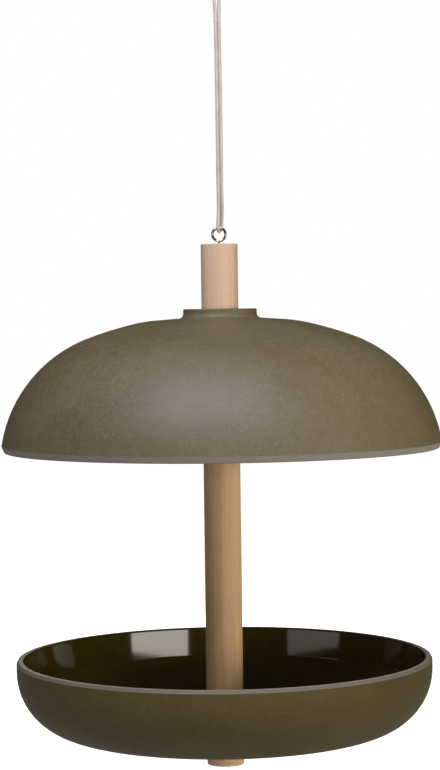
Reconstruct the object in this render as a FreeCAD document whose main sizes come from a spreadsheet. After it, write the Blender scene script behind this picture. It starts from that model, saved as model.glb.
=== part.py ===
import FreeCAD, Part
import math
import os

import Sketcher

# A hanging seed feeder: a moulded dome roof and a moulded seed dish on a beech post, hung by a doubled
# cord from a screw eye. Millimetres, +Z up, +X to the right of the view from the front, which looks along +Y.
# The origin is the point inside the top of the cord's loop where a hook carries the feeder.

# Driving sizes: alias, value, what it measures.
SIZES = [
    ("post_diameter", "20.3", "beech rod of both posts and the foot"),
    ("post_edge_round", "0.5", "rounded edge at the post's free ends"),
    ("upper_post_shown", "35.5", "upper post above the roof's collar"),
    ("foot_length", "18.8", "foot below the dish"),
    ("feeding_gap", "114.6", "roof's rim to dish's rim"),
    ("hang_drop", "150", "hook point to the top of the upper post"),
    ("roof_radius", "121.8", "outer radius of the roof's shoulder circle"),
    ("roof_shoulder_round", "75", "outer radius of the shoulder arc"),
    ("roof_crown_round", "211", "outer radius of the crown arc"),
    ("roof_cap_radius", "41", "radius of the flatter cap round the collar"),
    ("roof_cap_slope", "4", "degrees that the cap falls away from the collar"),
    ("roof_cap_round", "90", "fillet between the cap and the crown arc"),
    ("roof_shoulder_drop", "8.6", "shoulder arc's centre below the rim"),
    ("roof_wall", "4", "wall of the roof"),
    ("roof_band_height", "3.5", "height of the cut band round the roof's rim"),
    ("roof_band_taper", "1.4", "how far the band draws in at the bottom"),
    ("roof_edge_round", "0.8", "rounded outer edge of the roof's rim"),
    ("roof_lip_round", "0.7", "rounded inner edge of the roof's rim"),
    ("collar_wall", "9.8", "collar round the upper post's socket"),
    ("collar_rise", "2.4", "collar's top above the crown"),
    ("collar_base_round", "2.6", "fillet where the collar meets the crown"),
    ("collar_edge_round", "0.7", "rounded top edge of the collar"),
    ("collar_socket_depth", "4", "socket in the collar for the upper post"),
    ("hub_web", "5", "web between the upper and lower sockets"),
    ("hub_boss_wall", "5", "boss under the crown round the lower post's socket"),
    ("hub_socket_depth", "7", "socket in the boss for the lower post"),
    ("socket_clearance", "0.3", "radial room round a post in its socket"),
    ("dish_radius", "114.5", "outer radius of the dish"),
    ("dish_depth", "41", "outer height of the dish"),
    ("dish_corner_round", "35", "outer radius between the dish's wall and floor"),
    ("dish_wall", "4.2", "wall of the dish at its rim and floor"),
    ("dish_draft", "7", "degrees that the dish's inner wall leans outwards"),
    ("dish_inner_wall", "16", "straight part of the inner wall, down from the dish's rim"),
    ("dish_inner_round", "9", "inner radius between the dish's wall and the slope of its floor"),
    ("dish_floor_slope", "33", "degrees that the outer part of the dish's floor rises"),
    ("dish_chamfer_height", "1.6", "height of the cut band round the dish's rim"),
    ("dish_chamfer_width", "0.8", "width of the cut band round the dish's rim"),
    ("dish_lip_round", "0.8", "rounded inner edge of the dish's rim"),
    ("stud_diameter", "6", "dowel screws"),
    ("stud_point", "3", "tapered end of a dowel screw"),
    ("stud_tip_diameter", "3", "flat at the tapered end"),
    ("stud_hole_clearance", "1", "radial room round a dowel screw in the roof and in the dish"),
    ("stud_clearance", "0.05", "radial room round a dowel screw in its bore"),
    ("bore_spare", "1", "bore deeper than what it holds"),
    ("upper_post_core", "3", "wood left between the upper post's two bores"),
    ("roof_stud_in_lower", "24", "roof's dowel screw in the lower post"),
    ("dish_stud_in_post", "20", "dish's dowel screw in the lower post"),
    ("foot_core", "3.8", "wood left under the foot's bore"),
    ("seal_thickness", "1.5", "rubber washers"),
    ("seal_hole_clearance", "0.2", "radial room between a washer and its dowel screw"),
    ("dish_seal_margin", "2.85", "washer on the dish's floor beyond the post"),
    ("eye_wire", "1.4", "wire of the screw eye"),
    ("eye_ring_radius", "3.6", "ring of the screw eye, to the middle of the wire"),
    ("eye_neck_round", "1.5", "bend between the shank and the ring"),
    ("eye_ring_rise", "5.2", "ring's centre above the upper post"),
    ("eye_ring_end", "255", "degrees round the ring where its wire ends"),
    ("eye_shank_length", "14", "shank in the upper post"),
    ("eye_clearance", "0.05", "radial room round the shank in its bore"),
    ("cord_diameter", "2", "hanging cord"),
    ("knot_diameter", "7.6", "knot across"),
    ("knot_base", "3", "underside of the knot above the hook point"),
    ("tail_length", "13", "cord's tails, from the middle of the knot"),
    ("tail_angle", "24", "degrees that each tail leans from the vertical"),
]

# Places and sizes worked out from the driving sizes. Heights that end in _height are measured from the
# bottom of their own piece, and the others from the hook point.
PLACES = [
    ("post_radius", "=sizes.post_diameter / 2"),
    ("socket_radius", "=post_radius + sizes.socket_clearance"),
    ("stud_radius", "=sizes.stud_diameter / 2"),
    ("stud_tip_radius", "=sizes.stud_tip_diameter / 2"),
    ("stud_bore_radius", "=stud_radius + sizes.stud_clearance"),
    ("stud_hole_radius", "=stud_radius + sizes.stud_hole_clearance"),
    ("seal_hole_radius", "=stud_radius + sizes.seal_hole_clearance"),
    ("dish_seal_radius", "=post_radius + sizes.dish_seal_margin"),
    ("eye_bore_radius", "=sizes.eye_wire / 2 + sizes.eye_clearance"),
    ("eye_wire_radius", "=sizes.eye_wire / 2"),
    # The roof's shoulder arc meets its crown arc where the line through their centres crosses both.
    ("shoulder_axis", "=sizes.roof_radius - sizes.roof_shoulder_round"),
    ("centre_gap", "=sizes.roof_crown_round - sizes.roof_shoulder_round"),
    ("centre_rise", "=sqrt(centre_gap ^ 2 - shoulder_axis ^ 2)"),
    ("crown_depth", "=sizes.roof_shoulder_drop + centre_rise"),
    ("apex_height", "=sizes.roof_crown_round - crown_depth"),
    ("join_radius", "=sizes.roof_crown_round * shoulder_axis / centre_gap"),
    ("join_height", "=sizes.roof_crown_round * centre_rise / centre_gap - crown_depth"),
    ("band_reach", "=sizes.roof_shoulder_drop + sizes.roof_band_height"),
    ("band_radius", "=shoulder_axis + sqrt(sizes.roof_shoulder_round ^ 2 - band_reach ^ 2)"),
    ("edge_radius", "=band_radius - sizes.roof_band_taper"),
    ("inner_crown_round", "=sizes.roof_crown_round - sizes.roof_wall"),
    ("inner_shoulder_round", "=sizes.roof_shoulder_round - sizes.roof_wall"),
    ("inner_join_radius", "=inner_crown_round * shoulder_axis / centre_gap"),
    ("inner_join_height", "=inner_crown_round * centre_rise / centre_gap - crown_depth"),
    ("mouth_radius", "=shoulder_axis + sqrt(inner_shoulder_round ^ 2 - sizes.roof_shoulder_drop ^ 2)"),
    ("collar_radius", "=socket_radius + sizes.collar_wall"),
    ("cap_height", "=sqrt(sizes.roof_crown_round ^ 2 - sizes.roof_cap_radius ^ 2) - crown_depth"),
    ("inner_cap_height", "=sqrt(inner_crown_round ^ 2 - sizes.roof_cap_radius ^ 2) - crown_depth"),
    ("cap_fall", "=tan(sizes.roof_cap_slope)"),
    ("collar_base_height", "=cap_height + (sizes.roof_cap_radius - collar_radius) * cap_fall"),
    ("collar_top_height", "=apex_height + sizes.collar_rise"),
    ("upper_seat_height", "=collar_top_height - sizes.collar_socket_depth"),
    ("lower_seat_height", "=upper_seat_height - sizes.hub_web"),
    ("boss_mouth_height", "=lower_seat_height - sizes.hub_socket_depth"),
    ("boss_radius", "=socket_radius + sizes.hub_boss_wall"),
    ("boss_root_height", "=inner_cap_height + (sizes.roof_cap_radius - boss_radius) * cap_fall"),
    # The dish's inner wall leans outwards and bends into a slope, which runs down to the floor's flat middle.
    ("dish_flat_radius", "=sizes.dish_radius - sizes.dish_corner_round"),
    ("dish_inner_radius", "=sizes.dish_radius - sizes.dish_wall"),
    ("dish_bend_height", "=sizes.dish_depth - sizes.dish_inner_wall"),
    ("dish_bend_radius", "=dish_inner_radius - sizes.dish_inner_wall * tan(sizes.dish_draft)"),
    ("dish_bend_across", "=sizes.dish_inner_round * (cos(sizes.dish_draft) - sin(sizes.dish_floor_slope))"),
    ("dish_bend_drop", "=sizes.dish_inner_round * (cos(sizes.dish_floor_slope) - sin(sizes.dish_draft))"),
    ("dish_slope_radius", "=dish_bend_radius - dish_bend_across"),
    ("dish_slope_height", "=dish_bend_height - dish_bend_drop"),
    ("dish_slope_across", "=(dish_slope_height - sizes.dish_wall) / tan(sizes.dish_floor_slope)"),
    ("dish_floor_radius", "=dish_slope_radius - dish_slope_across"),
    ("dish_rim_radius", "=sizes.dish_radius - sizes.dish_chamfer_width"),
    ("dish_band_height", "=sizes.dish_depth - sizes.dish_chamfer_height"),
    # Heights of the pieces, from the top down.
    ("post_top", "=-sizes.hang_drop"),
    ("eye_base", "=post_top - sizes.eye_shank_length"),
    ("collar_top", "=post_top - sizes.upper_post_shown"),
    ("roof_rim", "=collar_top - collar_top_height"),
    ("roof_seal_base", "=roof_rim + upper_seat_height"),
    ("upper_post_base", "=roof_seal_base + sizes.seal_thickness"),
    ("lower_post_top", "=roof_rim + lower_seat_height"),
    ("roof_stud_base", "=lower_post_top - sizes.roof_stud_in_lower"),
    ("dish_base", "=roof_rim - sizes.feeding_gap - sizes.dish_depth"),
    ("dish_seal_base", "=dish_base + sizes.dish_wall"),
    ("lower_post_base", "=dish_seal_base + sizes.seal_thickness"),
    ("dish_stud_in_foot", "=sizes.foot_length - sizes.foot_core - sizes.bore_spare"),
    ("dish_stud_base", "=dish_base - dish_stud_in_foot"),
    ("foot_base", "=dish_base - sizes.foot_length"),
    # Lengths and bores along the post.
    ("upper_post_length", "=post_top - upper_post_base"),
    ("lower_post_length", "=lower_post_top - lower_post_base"),
    ("eye_bore_end", "=upper_post_length - sizes.eye_shank_length - sizes.bore_spare"),
    ("upper_bore_end", "=eye_bore_end - sizes.upper_post_core"),
    ("roof_stud_in_upper", "=upper_bore_end - sizes.bore_spare"),
    ("roof_stud_length", "=upper_post_base + roof_stud_in_upper - roof_stud_base"),
    ("roof_stud_shoulder", "=roof_stud_length - sizes.stud_point"),
    ("dish_stud_length", "=lower_post_base + sizes.dish_stud_in_post - dish_stud_base"),
    ("dish_stud_shoulder", "=dish_stud_length - sizes.stud_point"),
    ("lower_bore_end", "=sizes.dish_stud_in_post + sizes.bore_spare"),
    ("lower_bore_start", "=lower_post_length - sizes.roof_stud_in_lower - sizes.bore_spare"),
    # The eye's neck bends out of the shank and runs into the ring, touching its circle from outside.
    ("eye_ring_height", "=sizes.eye_shank_length + sizes.eye_ring_rise"),
    ("eye_span", "=sizes.eye_ring_radius + sizes.eye_neck_round"),
    ("eye_neck_reach", "=sqrt(eye_span ^ 2 - sizes.eye_neck_round ^ 2)"),
    ("eye_neck_height", "=eye_ring_height - eye_neck_reach"),
    ("eye_join_side", "=sizes.eye_neck_round * sizes.eye_ring_radius / eye_span"),
    ("eye_join_height", "=eye_ring_height - eye_neck_reach * sizes.eye_ring_radius / eye_span"),
    ("eye_end_height", "=eye_ring_height + sizes.eye_ring_radius * sin(sizes.eye_ring_end)"),
    # The knot closes the loop above the hook point.
    ("knot_radius", "=sizes.knot_diameter / 2"),
    ("knot_middle", "=sizes.knot_base + knot_radius"),
    ("cord_radius", "=sizes.cord_diameter / 2"),
]

# The cord's route in millimetres from the hook point, chosen by hand: from the knot down the left strand,
# through the ring of the screw eye from front to back, and up the right strand into the knot again.
CORD_ROUTE = [
    (-1.3, 0.0, 4.6),
    (-3.8, 0.1, -0.4),
    (-5.2, 0.2, -5.4),
    (-2.2, 0.1, -11.0),
    (-0.75, -0.6, -17.5),
    (-0.75, -0.6, -70.0),
    (-0.75, -0.7, -118.0),
    (-0.95, -1.9, -132.0),
    (-1.25, -2.15, -143.05),
    (1.25, 2.15, -143.05),
    (2.2, 1.7, -135.0),
    (1.4, 0.7, -121.0),
    (1.25, 0.5, -72.0),
    (1.15, 0.7, -19.0),
    (2.0, -0.1, -11.8),
    (5.1, -0.2, -6.0),
    (4.0, -0.1, -0.8),
    (1.3, 0.0, 4.6),
]

# Share of the shorter run beside a point that its arc takes up.
ARC_SHARE = 0.45

doc = FreeCAD.newDocument("seed_feeder")
sizes = doc.addObject("Spreadsheet::Sheet", "sizes")
places = doc.addObject("Spreadsheet::Sheet", "places")


def fill_sheets():
    """Writes the driving sizes and the worked-out places, each in a cell with an alias."""
    for line, (alias, value, note) in enumerate(SIZES, start=1):
        sizes.set(f"A{line}", note)
        sizes.set(f"B{line}", value)
        sizes.setAlias(f"B{line}", alias)
    doc.recompute()
    for line, (alias, formula) in enumerate(PLACES, start=1):
        places.setAlias(f"A{line}", alias)
        places.set(f"A{line}", formula)
    doc.recompute()


def cell(alias):
    """The expression that names a cell by its alias."""
    sheet = "sizes" if sizes.getCellFromAlias(alias) else "places"
    return f"{sheet}.{alias}"


def number(alias):
    """The number in the cell with that alias, or 0 for a point on an axis."""
    if alias == 0:
        return 0.0
    sheet = sizes if sizes.getCellFromAlias(alias) else places
    return float(sheet.get(alias))


def new_sketch(body, name, role):
    """An empty sketch on one of the body's own origin planes."""
    sketch = body.newObject("Sketcher::SketchObject", name)
    plane = next(item for item in body.Origin.OriginFeatures if item.Role == role)
    sketch.AttachmentSupport = [(plane, "")]
    sketch.MapMode = "FlatFace"
    return sketch


def new_body(label, base):
    """A body whose own bottom lies at the height in the cell base."""
    body = doc.addObject("PartDesign::Body", label)
    body.Label = label
    body.setExpression("Placement.Base.z", cell(base))
    return body


def bind(sketch, kind, place, alias):
    """Adds a constraint of that kind, with its value tied to a cell."""
    index = sketch.addConstraint(Sketcher.Constraint(kind, *place, number(alias)))
    sketch.setExpression(f"Constraints[{index}]", cell(alias))


def draw_edge(sketch, start, end, bend):
    """A line, or an arc (radius alias, 1 for a left and -1 for a right turn), and its two end numbers."""
    first = FreeCAD.Vector(number(start[0]), number(start[1]), 0)
    last = FreeCAD.Vector(number(end[0]), number(end[1]), 0)
    if bend is None:
        return sketch.addGeometry(Part.LineSegment(first, last)), 1, 2
    radius = number(bend[0])
    chord = last - first
    left = FreeCAD.Vector(-chord.y, chord.x, 0).normalize()
    centre = (first + last) / 2 + left * bend[1] * math.sqrt(radius ** 2 - chord.Length ** 2 / 4)
    begin, finish = (first, last) if bend[1] > 0 else (last, first)
    angles = [math.atan2(point.y - centre.y, point.x - centre.x) for point in (begin, finish)]
    circle = Part.Circle(centre, FreeCAD.Vector(0, 0, 1), radius)
    edge = sketch.addGeometry(Part.ArcOfCircle(circle, *angles))
    bind(sketch, "Radius", (edge,), bend[0])
    return (edge, 1, 2) if bend[1] > 0 else (edge, 2, 1)


def pin_point(sketch, edge, end, point):
    """Ties one end of an edge to its two cells, or to an axis where a coordinate is 0."""
    for alias, kind, axis in ((point[0], "DistanceX", -2), (point[1], "DistanceY", -1)):
        if alias == 0:
            sketch.addConstraint(Sketcher.Constraint("PointOnObject", edge, end, axis))
        else:
            bind(sketch, kind, (-1, 1, edge, end), alias)


def draw_outline(sketch, outline):
    """A closed outline of points (across alias, height alias, bend on the way to the next point or None)."""
    edges = []
    for start, end in zip(outline, outline[1:] + outline[:1]):
        edges.append(draw_edge(sketch, start, end, start[2]))
    for point, edge, before in zip(outline, edges, edges[-1:] + edges[:-1]):
        sketch.addConstraint(Sketcher.Constraint("Coincident", before[0], before[2], edge[0], edge[1]))
        pin_point(sketch, edge[0], edge[1], point)


def turned(label, base, outline):
    """A body turned about its own vertical axis from a closed outline."""
    body = new_body(label, base)
    sketch = new_sketch(body, label + "_outline", "XZ_Plane")
    draw_outline(sketch, outline)
    turn = body.newObject("PartDesign::Revolution", label + "_turning")
    turn.Profile = sketch
    turn.ReferenceAxis = (sketch, ["V_Axis"])
    turn.Angle = 360
    sketch.Visibility = False
    doc.recompute()
    return body


def round_edge(body, radius, height, size):
    """Rounds the circular edge with that radius at that height of a turned body."""
    base = body.Tip
    names = []
    for index, edge in enumerate(base.Shape.Edges, start=1):
        if not isinstance(edge.Curve, Part.Circle):
            continue
        level = abs(edge.Curve.Center.z - number(height)) < 1e-4
        if level and abs(edge.Curve.Radius - number(radius)) < 1e-4:
            names.append(f"Edge{index}")
    fillet = body.newObject("PartDesign::Fillet", f"{body.Label}_{size}")
    fillet.Base = (base, names)
    fillet.setExpression("Radius", cell(size))
    doc.recompute()


def make_roof():
    """Dome of a shoulder arc, a crown arc and a flatter cap, with a collar and a boss for the two posts."""
    outline = [
        ("edge_radius", 0, None),
        ("band_radius", "roof_band_height", ("roof_shoulder_round", 1)),
        ("join_radius", "join_height", ("roof_crown_round", 1)),
        ("roof_cap_radius", "cap_height", None),
        ("collar_radius", "collar_base_height", None),
        ("collar_radius", "collar_top_height", None),
        ("socket_radius", "collar_top_height", None),
        ("socket_radius", "upper_seat_height", None),
        ("stud_hole_radius", "upper_seat_height", None),
        ("stud_hole_radius", "lower_seat_height", None),
        ("socket_radius", "lower_seat_height", None),
        ("socket_radius", "boss_mouth_height", None),
        ("boss_radius", "boss_mouth_height", None),
        ("boss_radius", "boss_root_height", None),
        ("roof_cap_radius", "inner_cap_height", ("inner_crown_round", -1)),
        ("inner_join_radius", "inner_join_height", ("inner_shoulder_round", -1)),
        ("mouth_radius", 0, None),
    ]
    body = turned("roof_dome", "roof_rim", outline)
    round_edge(body, "roof_cap_radius", "cap_height", "roof_cap_round")
    round_edge(body, "roof_cap_radius", "inner_cap_height", "roof_cap_round")
    round_edge(body, "collar_radius", "collar_base_height", "collar_base_round")
    round_edge(body, "collar_radius", "collar_top_height", "collar_edge_round")
    round_edge(body, "edge_radius", 0, "roof_edge_round")
    round_edge(body, "mouth_radius", 0, "roof_lip_round")
    return body


def make_dish():
    """Dish with a cut band at its rim, a floor that slopes up to the wall, and a hole for the dowel screw."""
    outline = [
        ("stud_hole_radius", 0, None),
        ("dish_flat_radius", 0, ("dish_corner_round", 1)),
        ("dish_radius", "dish_corner_round", None),
        ("dish_radius", "dish_band_height", None),
        ("dish_rim_radius", "dish_depth", None),
        ("dish_inner_radius", "dish_depth", None),
        ("dish_bend_radius", "dish_bend_height", ("dish_inner_round", -1)),
        ("dish_slope_radius", "dish_slope_height", None),
        ("dish_floor_radius", "dish_wall", None),
        ("stud_hole_radius", "dish_wall", None),
    ]
    body = turned("seed_dish", "dish_base", outline)
    round_edge(body, "dish_inner_radius", "dish_depth", "dish_lip_round")
    return body


def make_upper_post():
    """Short post with a bore for the dowel screw below and one for the screw eye above."""
    outline = [
        (0, "upper_bore_end", None),
        ("stud_bore_radius", "upper_bore_end", None),
        ("stud_bore_radius", 0, None),
        ("post_radius", 0, None),
        ("post_radius", "upper_post_length", None),
        ("eye_bore_radius", "upper_post_length", None),
        ("eye_bore_radius", "eye_bore_end", None),
        (0, "eye_bore_end", None),
    ]
    body = turned("upper_post", "upper_post_base", outline)
    round_edge(body, "post_radius", "upper_post_length", "post_edge_round")
    return body


def make_lower_post():
    """Long post between the roof and the dish, bored at both ends for the dowel screws."""
    outline = [
        (0, "lower_bore_end", None),
        ("stud_bore_radius", "lower_bore_end", None),
        ("stud_bore_radius", 0, None),
        ("post_radius", 0, None),
        ("post_radius", "lower_post_length", None),
        ("stud_bore_radius", "lower_post_length", None),
        ("stud_bore_radius", "lower_bore_start", None),
        (0, "lower_bore_start", None),
    ]
    return turned("lower_post", "lower_post_base", outline)


def make_foot():
    """Foot under the dish, bored from above for the dowel screw."""
    outline = [
        (0, 0, None),
        ("post_radius", 0, None),
        ("post_radius", "foot_length", None),
        ("stud_bore_radius", "foot_length", None),
        ("stud_bore_radius", "foot_core", None),
        (0, "foot_core", None),
    ]
    body = turned("foot_knob", "foot_base", outline)
    round_edge(body, "post_radius", 0, "post_edge_round")
    return body


def make_stud(label, base, shoulder, length):
    """Dowel screw with a tapered point at each end."""
    outline = [
        (0, 0, None),
        ("stud_tip_radius", 0, None),
        ("stud_radius", "stud_point", None),
        ("stud_radius", shoulder, None),
        ("stud_tip_radius", length, None),
        (0, length, None),
    ]
    return turned(label, base, outline)


def make_seal(label, base, radius):
    """Rubber washer round a dowel screw."""
    outline = [
        ("seal_hole_radius", 0, None),
        (radius, 0, None),
        (radius, "seal_thickness", None),
        ("seal_hole_radius", "seal_thickness", None),
    ]
    return turned(label, base, outline)


def make_eye():
    """Wire screw eye: a straight shank, a neck that bends to the right and a ring that nearly closes."""
    body = new_body("screw_eye", "eye_base")
    spine = new_sketch(body, "screw_eye_spine", "XZ_Plane")
    stations = [
        (0, 0, None),
        (0, "eye_neck_height", ("eye_neck_round", -1)),
        ("eye_join_side", "eye_join_height", None),
    ]
    shank = draw_edge(spine, stations[0], stations[1], None)
    neck = draw_edge(spine, stations[1], stations[2], stations[1][2])
    centre = FreeCAD.Vector(0, number("eye_ring_height"), 0)
    start = math.atan2(number("eye_join_height") - centre.y, number("eye_join_side"))
    ring_circle = Part.Circle(centre, FreeCAD.Vector(0, 0, 1), number("eye_ring_radius"))
    ring_end = math.radians(number("eye_ring_end"))
    ring = spine.addGeometry(Part.ArcOfCircle(ring_circle, start, ring_end))
    for point, edge in zip(stations, (shank, neck, (ring, 1, 2))):
        pin_point(spine, edge[0], edge[1], point)
    spine.addConstraint(Sketcher.Constraint("Coincident", shank[0], shank[2], neck[0], neck[1]))
    spine.addConstraint(Sketcher.Constraint("Coincident", neck[0], neck[2], ring, 1))
    spine.addConstraint(Sketcher.Constraint("PointOnObject", ring, 3, -2))
    bind(spine, "DistanceY", (-1, 1, ring, 3), "eye_ring_height")
    bind(spine, "DistanceY", (-1, 1, ring, 2), "eye_end_height")
    section = new_sketch(body, "screw_eye_section", "XY_Plane")
    wire_circle = Part.Circle(FreeCAD.Vector(), FreeCAD.Vector(0, 0, 1), number("eye_wire_radius"))
    wire = section.addGeometry(wire_circle)
    section.addConstraint(Sketcher.Constraint("Coincident", wire, 3, -1, 1))
    bind(section, "Radius", (wire,), "eye_wire_radius")
    doc.recompute()
    pipe = body.newObject("PartDesign::AdditivePipe", "screw_eye_pipe")
    pipe.Profile = section
    pipe.Spine = (spine, [f"Edge{index}" for index in range(1, 4)])
    doc.recompute()
    return body


def cord_path(points):
    """Straight runs joined by tangent arcs, each as large as its two runs allow, with the arcs' radii."""
    edges = []
    radii = []
    end = points[0]
    for before, corner, after in zip(points, points[1:], points[2:]):
        into = (corner - before).normalize()
        out = (after - corner).normalize()
        shorter = min(corner.distanceToPoint(before), corner.distanceToPoint(after))
        half_turn = into.getAngle(out) / 2
        reach = ARC_SHARE * shorter
        first = corner - into * reach
        last = corner + out * reach
        radius = reach / math.tan(half_turn)
        bisector = (out - into).normalize()
        middle = corner + bisector * (radius / math.cos(half_turn) - radius)
        edges.append(Part.LineSegment(end, first).toShape())
        edges.append(Part.Arc(first, middle, last).toShape())
        radii.append(radius)
        end = last
    edges.append(Part.LineSegment(end, points[-1]).toShape())
    return Part.Wire(edges), radii


def make_cord():
    """One round cord along its route, with its volume compared with its section times its length."""
    points = [FreeCAD.Vector(*point) for point in CORD_ROUTE]
    path, radii = cord_path(points)
    radius = number("cord_radius")
    circle = Part.Circle(points[0], points[1] - points[0], radius)
    shape = path.makePipeShell([Part.Wire(circle.toShape())], True, False)
    expected = math.pi * radius ** 2 * path.Length
    print(f"cord length {path.Length:.1f}, volume {shape.Volume:.1f} against {expected:.1f}")
    print("cord arc radii " + " ".join(f"{value:.1f}" for value in radii))
    cord = doc.addObject("Part::Feature", "hanging_cord")
    cord.Label = "hanging_cord"
    cord.Shape = shape
    return cord


def make_knot():
    """Knot that closes the cord's loop, with the cord's two ends as tails."""
    lump = doc.addObject("Part::Sphere", "knot_lump")
    lump.setExpression("Radius", cell("knot_radius"))
    lump.setExpression("Placement.Base.z", cell("knot_middle"))
    pieces = [lump]
    for side, name in ((-1, "left_tail"), (1, "right_tail")):
        tail = doc.addObject("Part::Cylinder", name)
        tail.setExpression("Radius", cell("cord_radius"))
        tail.setExpression("Height", cell("tail_length"))
        tail.setExpression("Placement.Base.z", cell("knot_middle"))
        tail.Placement.Rotation = FreeCAD.Rotation(FreeCAD.Vector(0, side, 0), number("tail_angle"))
        pieces.append(tail)
    knot = doc.addObject("Part::MultiFuse", "cord_knot")
    knot.Label = "cord_knot"
    knot.Shapes = pieces
    doc.recompute()
    return knot


def check(parts):
    """Stops before anything is written if an object failed or a shape isn't one sound solid."""
    failed = [item.Name for item in doc.Objects if {"Invalid", "Error"} & set(item.State)]
    if failed:
        raise RuntimeError(f"failed objects: {failed}")
    for item in parts:
        if item.Shape.isNull() or not item.Shape.isValid() or len(item.Shape.Solids) != 1:
            raise RuntimeError(f"{item.Label} isn't one sound solid")


fill_sheets()
feeder = [
    make_roof(),
    make_seal("roof_seal", "roof_seal_base", "post_radius"),
    make_upper_post(),
    make_eye(),
    make_stud("roof_dowel_screw", "roof_stud_base", "roof_stud_shoulder", "roof_stud_length"),
    make_lower_post(),
    make_stud("dish_dowel_screw", "dish_stud_base", "dish_stud_shoulder", "dish_stud_length"),
    make_dish(),
    make_seal("dish_seal", "dish_seal_base", "dish_seal_radius"),
    make_foot(),
    make_cord(),
    make_knot(),
]
doc.recompute()
check(feeder)
os.makedirs("parts", exist_ok=True)
for piece in feeder:
    piece.Shape.exportStep(f"parts/{piece.Label}.step")
    print(f"{piece.Label}: volume {piece.Shape.Volume:.1f}")
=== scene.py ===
"""Looks of a hanging seed feeder: its cord, knot and dowel screws, and every piece's finish."""
import math

import bpy
from bpy.props import FloatProperty, FloatVectorProperty, IntProperty, PointerProperty
from mathutils import Matrix, Vector


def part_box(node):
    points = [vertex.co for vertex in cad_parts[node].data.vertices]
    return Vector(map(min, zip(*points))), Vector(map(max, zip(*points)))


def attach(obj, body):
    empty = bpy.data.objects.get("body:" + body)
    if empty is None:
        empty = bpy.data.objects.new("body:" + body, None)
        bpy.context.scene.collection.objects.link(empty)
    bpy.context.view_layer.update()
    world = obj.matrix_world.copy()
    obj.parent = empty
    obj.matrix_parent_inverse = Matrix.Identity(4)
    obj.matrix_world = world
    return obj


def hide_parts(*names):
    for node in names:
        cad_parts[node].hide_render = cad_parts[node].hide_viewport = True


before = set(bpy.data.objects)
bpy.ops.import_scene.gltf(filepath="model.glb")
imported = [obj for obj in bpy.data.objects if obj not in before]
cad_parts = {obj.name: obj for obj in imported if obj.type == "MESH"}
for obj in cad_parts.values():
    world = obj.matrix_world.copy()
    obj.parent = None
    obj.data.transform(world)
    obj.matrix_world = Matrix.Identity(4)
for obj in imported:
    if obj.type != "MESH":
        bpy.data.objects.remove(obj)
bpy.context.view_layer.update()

bl_info = {
    "name": "Hanging Seed Feeder",
    "version": (1, 0, 0),
    "blender": (4, 5, 0),
    "location": "3D View > Sidebar > Seed Feeder",
    "description": "Makes the cord, knot and dowel screws of a seed feeder and finishes its pieces",
    "category": "Object",
}

# All lengths are in metres. The CAD model's box, and the heights of the roof's lower edge and the
# dish's upper edge in it.
ROOF_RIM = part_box("roof_dome")[0][2]
DISH_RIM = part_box("seed_dish")[1][2]

# Heights from the roof's rim: the point on the axis that its inner faces look towards, where its
# band of painted light begins and is full, and the top of the hub under its crown, with the hub's
# radius.
ROOF_MIDDLE = 0.01
ROOF_BAND = (0.0037, 0.0033)
HUB_TOP = 0.072
HUB_RADIUS = 0.0165

# The same heights from the dish's rim, and the outer radius of the rim's flat top inside its
# chamfer, where a highlight is painted, with the width of its edge and how many times paler than
# the band the painted highlight is.
DISH_MIDDLE = -0.001
DISH_BAND = (-0.0019, -0.0014)
LIP_RADIUS = 0.1135
LIP_EDGE = 0.0004
LIP_HIGHLIGHT_GAIN = 2.2

# Share of a shell's inner polish that is left where another polished face mirrors it.
MIRRORED_POLISH = 0.2

# Kinds of node socket, and the outputs of the groups that make a surface.
VECTOR, COLOUR, VALUE = "NodeSocketVector", "NodeSocketColor", "NodeSocketFloat"
SURFACE = [("Color", COLOUR), ("Roughness", VALUE), ("Height", VALUE)]

# Part of a speck's reach in which it is full, before it fades.
SPECK_CORE = 0.45

# Colours that aren't settings.
DARK_SPECK = (0.02, 0.014, 0.006, 1)
BEECH_FLECK = (0.2, 0.1, 0.045, 1)
COTTON_PALE = (0.72, 0.68, 0.66, 1)
RUBBER = (0.012, 0.012, 0.013, 1)
RUBBER_BLOOM = (0.035, 0.034, 0.033, 1)
PAPER = (0.5, 0.5, 0.5, 1)
PAPER_PALE = (0.52, 0.52, 0.52, 1)
WHITE = (1, 1, 1, 1)

# Painted shade between the ribs of the braid: the cotton's brightness there, beside that of its
# colour.
COTTON_PAINTED_SHADE = 0.62

# Painted light on each length of the same beech, beside the plain wood: the lower post, in the
# roof's shade, is painted much lighter, the foot a little lighter and warmer, and the upper post a
# little lighter.
POST_PAINTED_LIGHT = {
    "upper_post": (1.04, 1.04, 1.06),
    "lower_post": (1.24, 1.19, 0.97),
    "foot_knob": (1.08, 1.05, 0.92),
}

# Strength of the room's light, of the room in a mirror, and of the floor's own glow.
ROOM_LIGHT = 0.12
ROOM_MIRRORED = 0.015
FLOOR_GLOW = 0.08

# Area lights round one aim point: degrees to the right of the front, degrees up, distance, width
# and height, watts, colour, and whether polished faces mirror the light.
LIGHT_AIM = Vector((0, 0, -0.25))
LIGHTS = {
    "overhead_light": (-11, 53, 0.77, (0.7, 0.35), 6.4, (0.88, 0.9, 1.0), True),
    "right_light": (40.7, 1.2, 2.4, (1.58, 0.6), 15.5, (1.0, 0.93, 0.83), True),
    "right_fill": (72, -4, 1.9, (1.2, 0.8), 14.8, (1.0, 0.96, 0.88), False),
    "front_fill": (-15, 4, 2.0, (1.0, 0.8), 1.7, (1.0, 0.98, 0.94), False),
    "left_light": (-57, 1.2, 2.4, (1.5, 0.6), 2.2, (1.0, 0.98, 0.95), True),
    "back_fill": (180, 8, 2.0, (1.2, 0.8), 14, (1.0, 0.98, 0.95), False),
}

# One tooth of the dowel screws' thread: steps out in depths and up in pitches.
TOOTH = [(0.0, 0.3), (0.9, 0.24), (0.1, 0.04), (-0.1, 0.04), (-0.9, 0.24), (0.0, 0.14)]

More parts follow.
